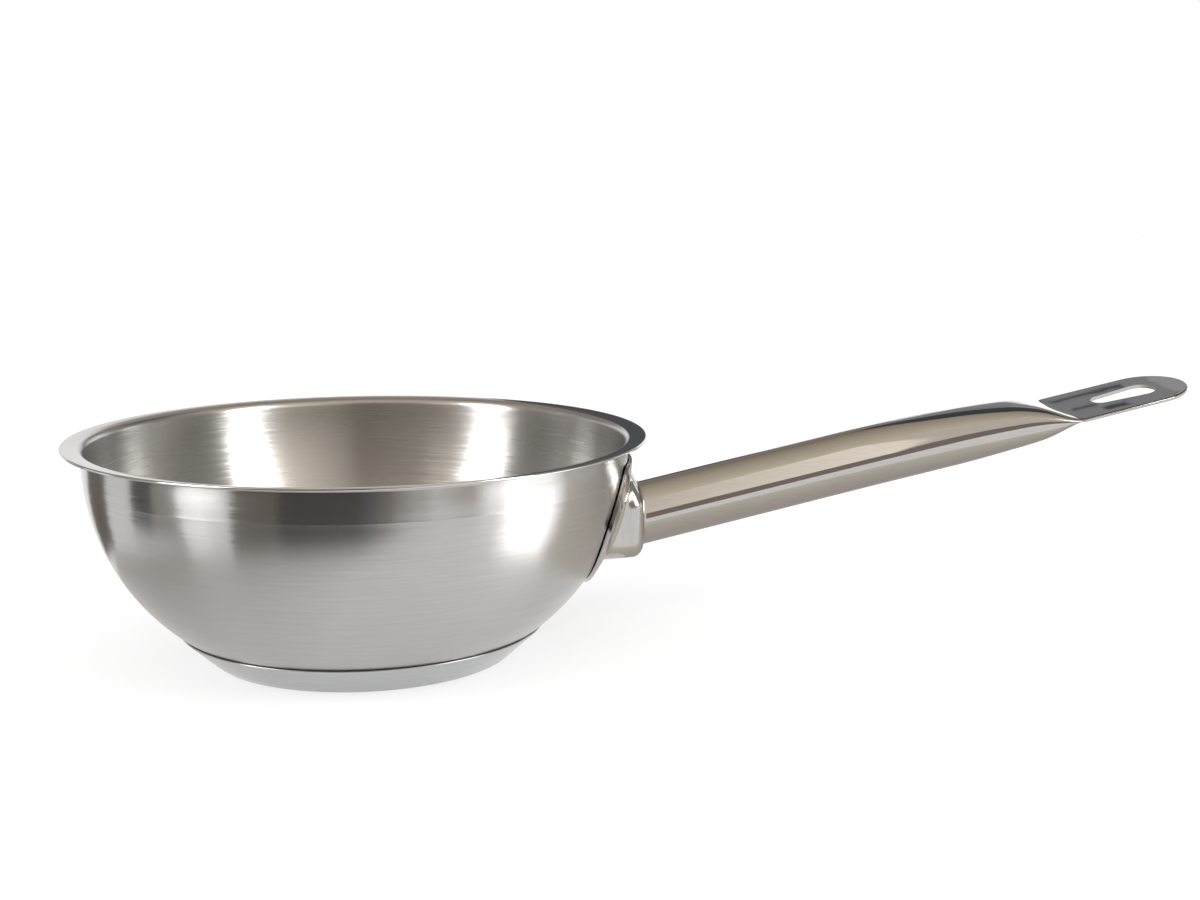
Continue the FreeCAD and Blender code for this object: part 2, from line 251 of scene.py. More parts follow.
# Metal left as it came from the weld, the furnace or the rolls: mottled and dull
def rawMetal(name, look):
    material, tree = newMaterial(name)
    place = addNode(tree, "TexCoord").outputs["Object"]
    spots = addNode(tree, "TexNoise", None,
                    {"Scale": 1 / (look["spotSize"] * mm), "Detail": 4.0}, {"Vector": place}).outputs["Fac"]
    tint = addNode(tree, "MixRGB", None,
                   {"Color1": linearColor(look["dark"]), "Color2": linearColor(look["light"])},
                   {"Fac": spots}).outputs["Color"]
    bump = addNode(tree, "Bump", None, {"Strength": 1.0, "Distance": look["spotDepth"] * mm},
                   {"Height": spots}).outputs["Normal"]
    shader = addNode(tree, "BsdfPrincipled", None, {"Metallic": 1.0, "Roughness": look["roughness"]},
                     {"Base Color": tint, "Normal": bump})
    addNode(tree, "OutputMaterial", links={"Surface": shader.outputs["BSDF"]})
    return material


# Inside: brushed hard, so the lamps spread into broad streaks with frayed edges
innerFinish = {
    "groovePitch": 0.25, "grooveDepth": 0.0008, "streaksPerRadian": 4.0, "sway": 0.06, "stretch": 0.9,
    "roughness": 0.29, "roughnessSpread": 0.03, "groove": "#acaaa8", "ridge": "#c5c4c2",
}
innerSteel = ringBrushedSteel("Brushed stainless steel, inside", innerFinish)
# Outside: brushed lightly, which blurs the room into soft upright bands
outerFinish = {
    "groovePitch": 0.6, "grooveDepth": 0.0008, "streaksPerRadian": 4.0, "sway": 0.03, "stretch": 0.88,
    "roughness": 0.23, "roughnessSpread": 0.02, "groove": "#a8a6a4", "ridge": "#b3b1af",
}
outerSteel = ringBrushedSteel("Fine brushed stainless steel, outside", outerFinish)
# Lip: buffed after it was trimmed, so it is brighter and its reflections have clear ends
rimFinish = {
    "groovePitch": 0.6, "grooveDepth": 0.0006, "streaksPerRadian": 4.0, "sway": 0.02, "stretch": 0.3,
    "roughness": 0.12, "roughnessSpread": 0.02, "groove": "#b8b6b3", "ridge": "#c8c6c3",
}
rimSteel = ringBrushedSteel("Buffed stainless steel, rim", rimFinish)
# Base cap: satin, a little colder and more even than the wall above it
capFinish = {
    "groovePitch": 0.6, "grooveDepth": 0.001, "streaksPerRadian": 4.0, "sway": 0.03, "stretch": 0.6,
    "roughness": 0.24, "roughnessSpread": 0.04, "groove": "#abacad", "ridge": "#bcbcbd",
}
capSteel = ringBrushedSteel("Satin stainless steel, base cap", capFinish)

# Handle tube: polished lengthwise, with the press leaving its flat end smoother and slightly wavy
handleFinish = {
    "tilt": 10.9, "markSize": (14.0, 0.7, 0.7), "markDepth": 0.0002, "waveSize": 14.0, "waveDepth": 0.008,
    "pressStart": 250.0, "pressRun": 20.0, "waveBefore": 0.15, "endSheen": 0.3,
    "roughness": 0.07, "roughnessSpread": 0.015, "dull": "#aaa7a4", "bright": "#b8b6b3",
}
handleSteel = polishedSteel("Polished stainless steel, handle tube", handleFinish)
# Bracket: polished up and down after pressing, a little wavy and softer than the tube
bracketFinish = {
    "tilt": 0.0, "markSize": (2.0, 2.0, 9.0), "markDepth": 0.0008, "waveSize": 12.0, "waveDepth": 0.02,
    "pressStart": 0.0, "pressRun": 20.0, "waveBefore": 1.0, "endSheen": 1.0,
    "roughness": 0.12, "roughnessSpread": 0.03, "dull": "#a9a7a4", "bright": "#b9b7b4",
}
bracketSteel = polishedSteel("Polished stainless steel, handle bracket", bracketFinish)

# Weld bead: dull, with the fine mottle of metal that froze quickly
weldFinish = {"spotSize": 0.8, "spotDepth": 0.02, "roughness": 0.35, "dark": "#8d8883", "light": "#bdb8b2"}
weldSteel = rawMetal("Stainless steel weld bead", weldFinish)
# Core disc: pale rolled aluminium, cloudy from the furnace
coreFinish = {"spotSize": 2.5, "spotDepth": 0.02, "roughness": 0.45, "dark": "#b4b6b8", "light": "#d0d2d4"}
coreAluminium = rawMetal("Rolled aluminium core", coreFinish)
# Filler: warm grey and grainy where it squeezed out
brazeFinish = {"spotSize": 1.2, "spotDepth": 0.03, "roughness": 0.5, "dark": "#a89f8e", "light": "#c7bfae"}
brazeFiller = rawMetal("Furnace braze filler", brazeFinish)
print("materials made")

# Bowl: sizes in mm, the same as the solids, plus the faint line pressed round the wall below the lip
bowl = {
    "sheet": 0.9,
    "innerRadius": 90.4,
    "wallArc": 74.6,
    "floorHeight": 6.2,
    "floorBend": 20.0,
    "wallTop": 69.9,
    "lipRoot": 72.3,
    "lipBend": 1.1,
    "lipSlope": 8.0,
    "rimRadius": 97.8,
    "creaseHeight": 63.0,
    "creaseRise": 0.03,
    "creaseHalf": 0.3,
    "buffStart": 0.5,
    "steps": 256,
    "floorSteps": 6,
    "bendSteps": 12,
    "wallSteps": 36,
    "creaseSteps": 2,
    "topSteps": 6,
    "lipSteps": 10,
    "rimSteps": 8,
    "smoothAngle": 35,
}
wallRadius = bowl["innerRadius"] + bowl["sheet"]
wallCentre = (wallRadius - bowl["wallArc"], bowl["wallTop"])
lipCentre = (wallRadius + bowl["lipBend"], bowl["lipRoot"])
bendDrop = bowl["wallTop"] - bowl["floorHeight"] - bowl["floorBend"]
bendRise = math.sqrt((bowl["wallArc"] - bowl["floorBend"]) ** 2 - bendDrop ** 2)
bendCentre = (wallCentre[0] + bendRise, bowl["floorHeight"] + bowl["floorBend"])
bendAngle = math.degrees(math.atan2(-bendDrop, bendRise))


def wallReach(height, offset=0.0):
    # radius of the bowl's outer face at this height, pushed out by the offset
    return wallCentre[0] + math.sqrt((bowl["wallArc"] + offset) ** 2 - (bowl["wallTop"] - height) ** 2)


def creased(point):
    # the faint raised line in the outer face
    corner = max(1 - abs(point.z - bowl["creaseHeight"]) / bowl["creaseHalf"], 0.0)
    return point + Vector((bowl["creaseRise"] * corner, 0, 0))


def wallAngle(height):
    return -math.degrees(math.asin((bowl["wallTop"] - height) / bowl["wallArc"]))


def bowlSide(offset, outer):
    # one face of the sheet from the middle of the floor to the lip's bend
    floor = bowl["floorHeight"] - offset
    radius = bowl["wallArc"] + offset
    below, crest, above = [wallAngle(bowl["creaseHeight"] + bowl["creaseHalf"] * k) for k in (-1, 0, 1)]
    wall = arcPoints(wallCentre, radius, bendAngle, below, bowl["wallSteps"])
    wall += arcPoints(wallCentre, radius, below, crest, bowl["creaseSteps"])[1:]
    wall += arcPoints(wallCentre, radius, crest, above, bowl["creaseSteps"])[1:]
    wall += arcPoints(wallCentre, radius, above, 0, bowl["topSteps"])[1:]
    if outer:
        wall = [creased(point) for point in wall]
    floorSteps = bowl["floorSteps"]
    points = [Vector((bendCentre[0] * k / floorSteps, 0, floor)) for k in range(floorSteps)]
    points += arcPoints(bendCentre, bowl["floorBend"] + offset, -90, bendAngle, bowl["bendSteps"])[:-1]
    points += wall
    points += arcPoints(lipCentre, bowl["lipBend"] - offset, 180, 90 + bowl["lipSlope"], bowl["lipSteps"])
    return points


def makeBowl():
    half = bowl["sheet"] / 2
    slope = math.radians(bowl["lipSlope"])
    lipRun = Vector((math.cos(slope), 0, math.sin(slope)))
    outside = bowlSide(0.0, True)
    inside = bowlSide(-bowl["sheet"], False)
    middle = (outside[-1] + inside[-1]) / 2
    rimCentre = middle + lipRun * ((bowl["rimRadius"] - half - middle.x) / lipRun.x)
    rim = arcPoints((rimCentre.x, rimCentre.z), half, bowl["lipSlope"] - 90, bowl["lipSlope"] + 90,
                    bowl["rimSteps"])
    piece = spunPiece("panShell", outside + rim + inside[::-1], bowl["steps"])
    for steel in (outerSteel, innerSteel, rimSteel):
        piece.data.materials.append(steel)
    # the lip is buffed, what faces in or up is the inside, and the rest is the outside
    lipStart = wallRadius + bowl["lipBend"] * bowl["buffStart"]
    for face in piece.data.polygons:
        outward = face.normal.x * face.center.x + face.normal.y * face.center.y
        if math.hypot(face.center.x, face.center.y) > lipStart * mm:
            face.material_index = 2
        elif outward < 0 or face.normal.z > 0.5:
            face.material_index = 1
    finishPiece(piece, "pan_shell", bowl["smoothAngle"])


makeBowl()

# Base cap: a dish of thin sheet over the sandwich, its rim just clear of the bowl
cap = {
    "sheet": 0.6,
    "floorMargin": 1.9,
    "bend": 1.5,
    "rimHeight": 10.0,
    "rimGap": 0.15,
    "steps": 256,
    "floorSteps": 8,
    "bendSteps": 6,
    "rimSteps": 8,
    "smoothAngle": 35,
}


def makeCap():
    half = cap["sheet"] / 2
    rimOffset = cap["rimGap"] + half
    rim = Vector((wallReach(cap["rimHeight"], rimOffset), 0, cap["rimHeight"]))
    foot = bendCentre[0] + cap["floorMargin"]
    rise = rim - Vector((foot, 0, 0))
    slope = math.degrees(math.atan2(rise.z, rise.x) - math.asin(half / rise.length))
    bend = (foot - cap["bend"] * math.tan(math.radians(slope / 2)), cap["bend"])
    floorSteps = cap["floorSteps"]

    def dish(height):
        # one face of the sheet, this far above the underside
        points = [Vector((bend[0] * k / floorSteps, 0, height)) for k in range(floorSteps)]
        return points + arcPoints(bend, cap["bend"] - height, -90, slope - 90, cap["bendSteps"])

    side = arcPoints((rim.x, rim.z), half, slope - 90, slope + 90, cap["rimSteps"])
    piece = spunPiece("baseCap", dish(0.0) + side + dish(cap["sheet"])[::-1], cap["steps"])
    piece.data.materials.append(capSteel)
    finishPiece(piece, "base_cap", cap["smoothAngle"])


makeCap()

# Handle: a round tube pressed flat at its far end, X along its axis before it is placed
handle = {
    "faceReach": 97.6,
    "height": 42.05,
    "tilt": 10.9,
    "roll": 6.4,
    "radius": 11.15,
    "wall": 0.7,
    "insert": 5.0,
    "crease": 170.8,
    "tabWidth": 31.9,
    "tabLength": 52.3,
    "tabDrop": 1.3,
    "slotStart": 13.8,
    "slotLength": 26.7,
    "slotNear": 4.2,
    "slotFar": 6.0,
    "flattening": [(10, 0.37, 0.70), (18, 0.57, 0.84), (26, 0.68, 0.90), (41, 0.82, 0.98),
                   (57, 0.91, 1.0), (72, 0.97, 1.0), (90, 1.0, 1.0)],
    "shoulder": 3.4,
    "lowerSquare": 0.35,
    "tabSquare": 16.0,
    "squareRun": 1.2,
    "tipHalf": 0.2,
    "points": 96,
    "straightSections": 6,
    "sections": 30,
    "tabStations": [0.15, 0.5, 1.5, 3.0, 5.0],
    "tipSections": 16,
    "smoothAngle": 22,
}
handleRows = [(0.0, handle["wall"] - handle["tabDrop"], -handle["wall"] - handle["tabDrop"])]
handleRows += [(u, a * handle["radius"], -b * handle["radius"]) for u, a, b in handle["flattening"]]
handlePlace = (Matrix.Translation(Vector((handle["faceReach"], 0, handle["height"])) * mm)
               @ Matrix.Rotation(math.radians(-handle["tilt"]), 4, "Y")
               @ Matrix.Rotation(math.radians(handle["roll"]), 4, "X"))


def eased(before, column):
    # a smooth line through the rows, level where the tube is round
    def slopeAt(k):
        if k == len(handleRows) - 1:
            return 0.0
        low, high = handleRows[max(k - 1, 0)], handleRows[k + 1]
        return (high[column] - low[column]) / (high[0] - low[0])

    k = max(i for i in range(len(handleRows) - 1) if handleRows[i][0] <= before)
    start, end = handleRows[k], handleRows[k + 1]
    span = end[0] - start[0]
    t = (before - start[0]) / span
    return ((1 + 2 * t) * (1 - t) ** 2 * start[column] + t * (1 - t) ** 2 * span * slopeAt(k)
            + t ** 2 * (3 - 2 * t) * end[column] - t ** 2 * (1 - t) * span * slopeAt(k + 1))


def ovalPoint(station, halfWidth, top, bottom, middle, square):
    # a point of an oval whose upper half is squarer than its lower half
    def place(angle):
        c, s = math.cos(angle), math.sin(angle)
        power = 2 / (square if s > 0 else 2 + (square - 2) * handle["lowerSquare"])
        y = halfWidth * math.copysign(abs(c) ** power, c)
        z = middle + (top - middle if s > 0 else middle - bottom) * math.copysign(abs(s) ** power, s)
        return Vector((station, y, z))
    return place


def pressedSection(before):
    top, bottom = eased(before, 1), eased(before, 2)
    share = before / handleRows[-1][0]
    middle = -handle["tabDrop"] * (1 - share) ** 2
    mean = (top - bottom) / 2 / handle["radius"]
    spread = (math.sqrt(2 - mean ** 2) - 1) / (math.sqrt(2) - 1)
    halfWidth = handle["radius"] + (handle["tabWidth"] / 2 - handle["radius"]) * spread
    square = 2 + (handle["shoulder"] - 2) * (1 - share) ** 2
    return ovalPoint(handle["crease"] - before, halfWidth, top, bottom, middle, square)


def tabSection(beyond):
    half = handle["tabWidth"] / 2
    roundStart = handle["tabLength"] - half
    past = max(beyond - roundStart, 0.0)
    halfWidth = math.sqrt(max(half ** 2 - past ** 2, handle["tipHalf"] ** 2))
    drop = handle["tabDrop"]
    soft = max(1 - beyond / handle["squareRun"], 0.0)
    square = handle["tabSquare"] + (handle["shoulder"] - handle["tabSquare"]) * soft
    top, bottom = handle["wall"] - drop, -handle["wall"] - drop
    return ovalPoint(handle["crease"] + beyond, halfWidth, top, bottom, -drop, square)


def makeSlotCutter():
    # a drum whose far side is widened and moved out, for a slot that tapers towards the bowl
    near = handle["crease"] + handle["slotStart"] + handle["slotNear"]
    run = handle["slotLength"] - handle["slotNear"] - handle["slotFar"]
    lean = (handle["slotNear"] - handle["slotFar"]) / run
    widen = handle["slotFar"] / handle["slotNear"]
    bpy.ops.object.select_all(action="DESELECT")
    bpy.ops.mesh.primitive_cylinder_add(vertices=handle["points"], radius=handle["slotNear"] * mm,
                                        depth=handle["radius"] * mm, location=(near * mm, 0, 0))
    cutter = bpy.context.object
    editPiece(cutter)
    bpy.ops.mesh.select_all(action="DESELECT")
    mesh = bmesh.from_edit_mesh(cutter.data)
    for vert in mesh.verts:
        vert.select = vert.co.x > lean * handle["slotNear"] * mm
    mesh.select_flush_mode()
    bmesh.update_edit_mesh(cutter.data)
    bpy.ops.transform.resize(value=(widen, widen, 1), center_override=(near * mm, 0, 0))
    bpy.ops.transform.translate(value=(run * mm, 0, 0))
    bpy.ops.object.mode_set(mode="OBJECT")
    return cutter


def makeTube():
    radius = handle["radius"]

    def roundSection(station):
        return ovalPoint(station, radius, radius, -radius, 0, 2)

    pressRun = handleRows[-1][0]
    straight = handle["crease"] - pressRun
    straightSections, sections, tips = handle["straightSections"], handle["sections"], handle["tipSections"]
    stations = [roundSection(straight * k / straightSections) for k in range(straightSections)]
    stations += [pressedSection(pressRun * (1 - k / sections)) for k in range(sections + 1)]
    half = handle["tabWidth"] / 2
    flatRun = handle["tabLength"] - half
    beyonds = [*handle["tabStations"], flatRun / 2]
    beyonds += [flatRun + half * math.sin(math.radians(90 * k / tips)) for k in range(tips + 1)]
    stations += [tabSection(beyond) for beyond in beyonds]
    piece, share = firstRing("handleTube", handle["points"], roundSection(-handle["insert"]))
    bpy.ops.mesh.edge_face_add()
    bpy.ops.mesh.select_mode(type="EDGE")
    for station in stations:
        share = growRing(piece, share, station)
    bpy.ops.mesh.edge_face_add()
    bpy.ops.mesh.select_all(action="SELECT")
    bpy.ops.mesh.normals_make_consistent(inside=False)
    bpy.ops.object.mode_set(mode="OBJECT")
    cutter = makeSlotCutter()
    slot = piece.modifiers.new("slot", "BOOLEAN")
    slot.object = cutter
    slot.operation = "DIFFERENCE"
    slot.solver = "EXACT"
    applyAll(piece)
    bpy.data.objects.remove(cutter)
    piece.data.transform(handlePlace)
    piece.data.materials.append(handleSteel)
    finishPiece(piece, "handle_tube", handle["smoothAngle"])


makeTube()

# Handle bracket: an oval plate on the wall, with a boss pressed out of it for the tube
bracket = {
    "gap": 0.4,
    "plate": 1.2,
    "halfWidth": 46.5,
    "halfHeight": 29.0,
    "middle": 49.55,
    "top": 66.3,
    "bossHalfWidth": 16.0,
    "bossBottom": 29.2,
    "bossRoof": 52.7,
    "roofSlope": 66.0,
    "bossArch": 5.5,
    "bossDraft": 6.0,
    "edgeRound": 4.5,
    "cornerRound": 5.0,
    "rootRound": 2.2,
    "holeRoom": 0.05,
    "deepest": 40.0,
    "points": 128,
    "halvings": 40,
    "edgeRings": 7,
    "sideShares": (0.33, 0.67, 1.0),
    "rootShares": (0.2, 0.4, 0.6, 0.8, 1.0),
    "plateShares": (0.25, 0.5, 0.75, 0.96, 1.0),
    "smoothAngle": 40,
}
bossMiddle = handle["height"]


def reach(inside, angle):
    # how far a ray from the boss's middle runs before it leaves the shape
    near, far = 0.0, 2 * bracket["halfWidth"]
    for k in range(bracket["halvings"]):
        middle = (near + far) / 2
        if inside(middle * math.cos(angle), bossMiddle + middle * math.sin(angle)):
            near = middle
        else:
            far = middle
    return near


def onBoss(depth, shrink):
    # inside test for the boss's outline at this depth behind its face
    half = bracket["bossHalfWidth"] + depth * math.tan(math.radians(bracket["bossDraft"])) - shrink
    bottom = bracket["bossBottom"] + shrink
    shoulder = bracket["bossRoof"] - bracket["bossArch"]
    top = bracket["bossRoof"] + depth * math.tan(math.radians(bracket["roofSlope"]))
    corner = bracket["cornerRound"]

    def inside(y, z):
        side = abs(y)
        if side > half or z < bottom:
            return False
        if z > shoulder:
            return (side / half) ** 2 + ((z - shoulder) / (top - shoulder)) ** 2 < 1
        if z < bottom + corner and side > half - corner:
            return math.hypot(side - half + corner, bottom + corner - z) < corner
        return True
    return inside


def onPlate(y, z):
    oval = (y / bracket["halfWidth"]) ** 2 + ((z - bracket["middle"]) / bracket["halfHeight"]) ** 2
    return oval < 1 and z < bracket["top"]


def plateFace(y, z):
    radius = wallReach(z, bracket["gap"] + bracket["plate"])
    return Vector((math.sqrt(radius ** 2 - y ** 2), y, z))


def bossPoint(depth, shrink, angle):
    far = reach(onBoss(depth, shrink), angle)
    return Vector((handle["faceReach"] - depth, far * math.cos(angle), bossMiddle + far * math.sin(angle)))


def bossRoot(angle):
    # depth at which this side of the boss meets the plate
    near, far = 0.0, bracket["deepest"]
    for k in range(bracket["halvings"]):
        depth = (near + far) / 2
        point = bossPoint(depth, 0.0, angle)
        if onPlate(point.y, point.z) and point.x > plateFace(point.y, point.z).x:
            near = depth
        else:
            far = depth
    return near


def makeBracket():
    points = bracket["points"]
    rounding = bracket["edgeRound"]
    holeRadius = handle["radius"] + bracket["holeRoom"]
    roots = [bossRoot(-math.pi + 2 * math.pi * k / points) for k in range(points)]

    def rootAt(angle):
        return roots[round((angle + math.pi) / (2 * math.pi) * points) % points]

    def roundPoint(turn, angle):
        depth = min(rounding * (1 - math.sin(turn)), rootAt(angle))
        return bossPoint(depth, rounding * (1 - math.cos(turn)), angle)

    def farOut(point):
        return math.hypot(point.y, point.z - bossMiddle)

    def holeTurn(angle):
        # where the round meets the hole, or its start where the face is wider than the hole
        low, high = 0.0, math.pi / 2
        if farOut(roundPoint(high, angle)) > holeRadius:
            return high
        for k in range(bracket["halvings"]):
            turn = (low + high) / 2
            if farOut(roundPoint(turn, angle)) > holeRadius:
                low = turn
            else:
                high = turn
        return low

    def hole(angle):
        depth = rounding * (1 - math.sin(holeTurn(angle)))
        across, up = holeRadius * math.cos(angle), holeRadius * math.sin(angle)
        return Vector((handle["faceReach"] - depth, across, bossMiddle + up))

    def edge(part):
        def place(angle):
            return roundPoint(holeTurn(angle) * (1 - part), angle)
        return place

    def side(part):
        def place(angle):
            root = rootAt(angle)
            start = min(rounding, root)
            end = max(root - bracket["rootRound"], start)
            return bossPoint(start + (end - start) * part, 0.0, angle)
        return place

    def ends(angle):
        # boss side, corner and plate points of the round at the boss's root, and the plate's edge
        root = rootAt(angle)
        corner = bossPoint(root, 0.0, angle)
        above = bossPoint(max(root - bracket["rootRound"], min(rounding, root)), 0.0, angle)
        outer = reach(onPlate, angle)
        inner = min(math.hypot(corner.y, corner.z - bossMiddle), outer)
        run = min(bracket["rootRound"], (outer - inner) * 0.5)
        c, s = math.cos(angle), math.sin(angle)
        beyond = plateFace((inner + run) * c, bossMiddle + (inner + run) * s)
        return above, plateFace(inner * c, bossMiddle + inner * s), beyond, inner + run, outer

    def root(part):
        def place(angle):
            above, corner, beyond, start, outer = ends(angle)
            return above * (1 - part) ** 2 + corner * (2 * part * (1 - part)) + beyond * part ** 2
        return place

    def plate(part):
        def place(angle):
            above, corner, beyond, start, outer = ends(angle)
            far = start + (outer - start) * part
            return plateFace(far * math.cos(angle), bossMiddle + far * math.sin(angle))
        return place

    piece, share = firstRing("handleBracket", points, hole)
    bpy.ops.mesh.select_mode(type="EDGE")
    rings = [edge(k / bracket["edgeRings"]) for k in range(bracket["edgeRings"] + 1)]
    rings += [side(part) for part in bracket["sideShares"]]
    rings += [root(part) for part in bracket["rootShares"]]
    rings += [plate(part) for part in bracket["plateShares"]]
    for ring in rings:
        share = growRing(piece, share, ring)
    bpy.ops.mesh.select_all(action="SELECT")
    bpy.ops.mesh.remove_doubles(threshold=joinGap)
    bpy.ops.mesh.normals_make_consistent(inside=False)
    bpy.ops.object.mode_set(mode="OBJECT")
    sheet = piece.modifiers.new("sheet", "SOLIDIFY")
    sheet.thickness = bracket["plate"] * mm
    sheet.offset = -1
    applyAll(piece)
    piece.data.materials.append(bracketSteel)
    finishPiece(piece, "handle_bracket", bracket["smoothAngle"])


makeBracket()

# Solids that stay as they are, hidden in the base or small at the welds
nodeFinish = {"base_core_disc": coreAluminium, "base_upper_braze": brazeFiller,
              "base_lower_braze": brazeFiller, "handle_weld_ring": weldSteel,
              "bracket_spot_welds": weldSteel}
for nodeName, finish in nodeFinish.items():
    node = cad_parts[nodeName]
    node.data.materials.clear()
    node.data.materials.append(finish)
print("solids given their finish:", len(nodeFinish))

# Studio: a white floor and background, a warm grey room round them and two tall soft lamps, sizes in m
studio = {
    "floor": 12.0,
    "floorColor": "#fcfcfc",
    "floorGlow": 0.6,
    "left": -2.6,
    "right": 2.6,
    "front": -1.6,
    "back": 2.6,
    "top": 2.4,
    "bandTop": 0.42,
    "tabWall": 2.5,
    "markWall": 2.49,
    "tipWall": 2.485,
    "stripTop": 0.06,
    "matHeight": 0.002,
    "lampHeight": 0.78,
    "lampLength": 1.5,
    "lampPower": 18,
    "white": "#ffffff",
    "wallColor": "#f8efe3",
    "ceilingFront": "#fff3dc",
    "ceilingBack": "#a89c8e",
    "backColor": "#a0968b",
    "bandColor": "#a1908b",
    "bandEnd": "#b3a49c",
    "tabColor": "#9fa0a4",
    "tipColor": "#b8b9bc",
    "darkColor": "#55575b",
    "barColor": "#54565b",
    "sideColor": "#a6a39f",
    "matColor": "#3a3837",
    "halfMatColor": "#77716b",
    "paleMatColor": "#a8a49f",
    "edgeMatAndShadeColor": "#d0cdc9",
    "shadeNear": "#fbf7e9",
    "shadeUnder": "#c4bdb8",
    "shadeLow": "#8f857c",
    "shadeHigh": "#bab2a8",
    "warmLow": "#938d85",
    "warmHigh": "#fff6e8",
    "glowEdge": "#a0a0a0",
}


def seenDirectly(tree):
    # 1 for what the camera sees directly, in metal or through glass
    path = addNode(tree, "LightPath").outputs
    sums = addNode(tree, "Math", {"operation": "ADD"},
                   links={0: path["Is Camera Ray"], 1: path["Is Glossy Ray"]}).outputs["Value"]
    return addNode(tree, "Math", {"operation": "ADD", "use_clamp": True},
                   links={0: sums, 1: path["Is Transmission Ray"]}).outputs["Value"]


def makeWorld():
    world = bpy.data.worlds.new("studio")
    bpy.context.scene.world = world
    world.use_nodes = True
    tree = world.node_tree
    tree.nodes.clear()
    light = addNode(tree, "Background", None, {"Color": (1, 1, 1, 1), "Strength": 1.0})
    addNode(tree, "OutputWorld", links={"Surface": light.outputs["Background"]})


def makeFloor():
    material, tree = newMaterial("White floor")
    direct = seenDirectly(tree)
    share = addNode(tree, "Math", {"operation": "MULTIPLY"}, {1: studio["floorGlow"]},
                    {0: direct}).outputs["Value"]
    paper = addNode(tree, "BsdfDiffuse", None, {"Color": linearColor(studio["floorColor"])}).outputs["BSDF"]
    glow = addNode(tree, "Emission", None, {"Color": (1, 1, 1, 1), "Strength": 1.0}).outputs["Emission"]
    mixed = addNode(tree, "MixShader", links={"Fac": share, 1: paper, 2: glow})
    addNode(tree, "OutputMaterial", links={"Surface": mixed.outputs["Shader"]})
    bpy.ops.object.select_all(action="DESELECT")
    bpy.ops.mesh.primitive_plane_add(size=studio["floor"])
    floor = bpy.context.object
    floor.name = "floor"
    floor.data.materials.append(material)


def makeCard(name, color, corners, strength=1.0, fade=None):
    # a studio card that the metal mirrors and the camera doesn't see, its corners in order round it
    # the fade is the axis its colour changes along, where that starts, where it ends, and the last colour
    # a card that has no first colour starts clear
    material, tree = newMaterial(name)
    light = addNode(tree, "Emission", None, {"Color": linearColor(color or fade[3]), "Strength": strength})
    surface = light.outputs["Emission"]
    if fade:
        axis, fadeStart, fadeEnd, lastColor = fade
        place = addNode(tree, "TexCoord").outputs["Object"]
        depth = addNode(tree, "SeparateXYZ", links={"Vector": place}).outputs[axis]
        share = addNode(tree, "MapRange", None, {"From Min": fadeStart, "From Max": fadeEnd},
                        {"Value": depth}).outputs["Result"]
        if color:
            tint = addNode(tree, "MixRGB", None,
                           {"Color1": linearColor(color), "Color2": linearColor(lastColor)}, {"Fac": share})
            tree.links.new(tint.outputs["Color"], light.inputs["Color"])
        else:
            clear = addNode(tree, "BsdfTransparent").outputs["BSDF"]
            surface = addNode(tree, "MixShader", links={"Fac": share, 1: clear, 2: surface}).outputs["Shader"]
    addNode(tree, "OutputMaterial", links={"Surface": surface})
    bpy.ops.object.select_all(action="DESELECT")
    bpy.ops.mesh.primitive_circle_add(vertices=len(corners), fill_type="NGON")
    card = bpy.context.object
    card.name = name
    for vert, corner in zip(card.data.vertices, corners):
        vert.co = Vector(corner)
    card.data.materials.append(material)
    card.visible_camera = False
    card.visible_shadow = False
    card.visible_diffuse = False


def standCard(name, color, start, end, low, high, strength=1.0, fade=None):
    # an upright card over the line from start to end on the floor
    makeCard(name, color, [(*start, low), (*end, low), (*end, high), (*start, high)], strength, fade)


def hangCard(name, color, wall, outline):
    # a card on the far side of the room, its outline as X and Z
    makeCard(name, color, [(x, wall, z) for x, z in outline])


def layMat(name, color, outline, fade=None):
    # a card flat on the floor, its outline as X and Y
    makeCard(name, color, [(x, y, studio["matHeight"]) for x, y in outline], fade=fade)


def makeLamp(name, spot, width):
    # a tall lamp that faces the pan's axis
    lamp = bpy.data.lights.new(name, "AREA")
    lamp.shape = "RECTANGLE"
    lamp.size = width
    lamp.size_y = studio["lampLength"]
    lamp.energy = studio["lampPower"]
    holder = bpy.data.objects.new(name, lamp)
    bpy.context.collection.objects.link(holder)
    holder.location = (*spot, studio["lampHeight"])
    holder.rotation_euler = Vector((-spot[0], -spot[1], 0)).to_track_quat("-Z", "Y").to_euler()
    holder.visible_camera = False


makeWorld()
makeFloor()
left, right, front, back, top = [studio[key] for key in ("left", "right", "front", "back", "top")]
bandTop, stripTop = studio["bandTop"], studio["stripTop"]

# Walls and ceiling, with a darker band along the foot of the front wall and gaps that show as bright streaks
standCard("frontCard", studio["wallColor"], (left, front), (right, front), bandTop, top)
standCard("bandCard", studio["bandColor"], (left, front), (right, front), 0, bandTop)
makeCard("ceilingCard", studio["ceilingFront"],
         [(left, front, top), (right, front, top), (right, back, top), (left, back, top)],
         fade=("Y", -1.4, 1.9, studio["ceilingBack"]))
standCard("backCard", studio["backColor"], (left, back), (1.2, back), 0.78, top)
standCard("bandEnd", studio["bandEnd"], (0.95, -1.59), (right, -1.59), 0, bandTop)
makeCard("leftCard", studio["sideColor"],
         [(left, front, 0.1), (left, 1.0, 0.3), (left, 1.0, top), (left, front, top)])
standCard("leftPost", studio["sideColor"], (left, 1.25), (left, 1.85), 0, top)
makeCard("cornerCard", studio["sideColor"],
         [(left, 2.25, 0.5), (left, back, 0.6), (left, back, top), (left, 2.25, top)])
makeCard("rightCard", studio["sideColor"],
         [(right, front, 0.1), (right, back, 0.6), (right, back, top), (right, front, top)])
standCard("rightStrip", studio["white"], (2.58, 0.85), (2.58, 1.4), 0, 0.8, 2.0)

